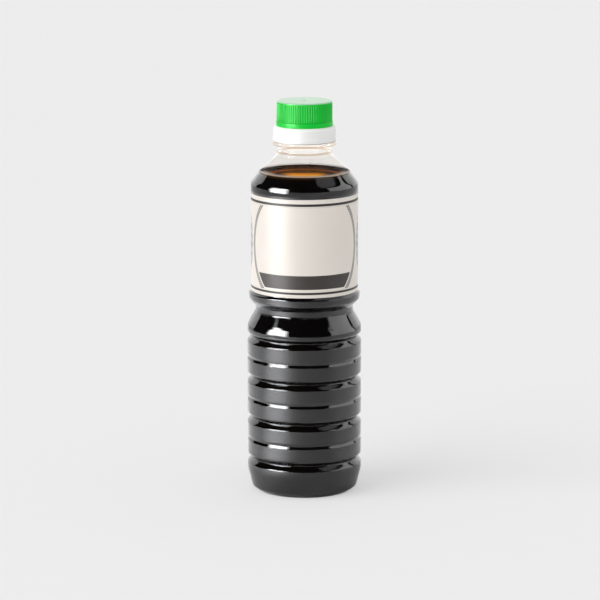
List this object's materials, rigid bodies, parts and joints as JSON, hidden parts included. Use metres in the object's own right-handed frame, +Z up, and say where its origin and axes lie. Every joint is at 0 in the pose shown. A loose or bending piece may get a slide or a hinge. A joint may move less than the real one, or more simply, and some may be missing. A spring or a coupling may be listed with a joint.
{
  "type": "soy sauce bottle",
  "caption": "Ribbed clear plastic bottle of soy sauce with a wrap-around label, a white collar and a green ribbed screw lid.",
  "frame": {"origin": "middle of the base, on the surface that the bottle stands on", "axes": "+Z up along the bottle's axis, -Y towards the front of the label"},
  "size_m": [0.064, 0.064, 0.2204],
  "materials": {
    "clear_plastic": "clear glossy PET",
    "soy_sauce": "dark brown liquid, amber where thin",
    "label_film": "printed satin film",
    "white_plastic": "moulded white polypropylene",
    "green_plastic": "moulded green polypropylene"
  },
  "bodies": {
    "root": {"bottle": "clear_plastic", "soy_sauce": "soy_sauce", "label": "label_film", "cap_collar": "white_plastic", "cap_lid": "green_plastic"}
  },
  "joints": []
}
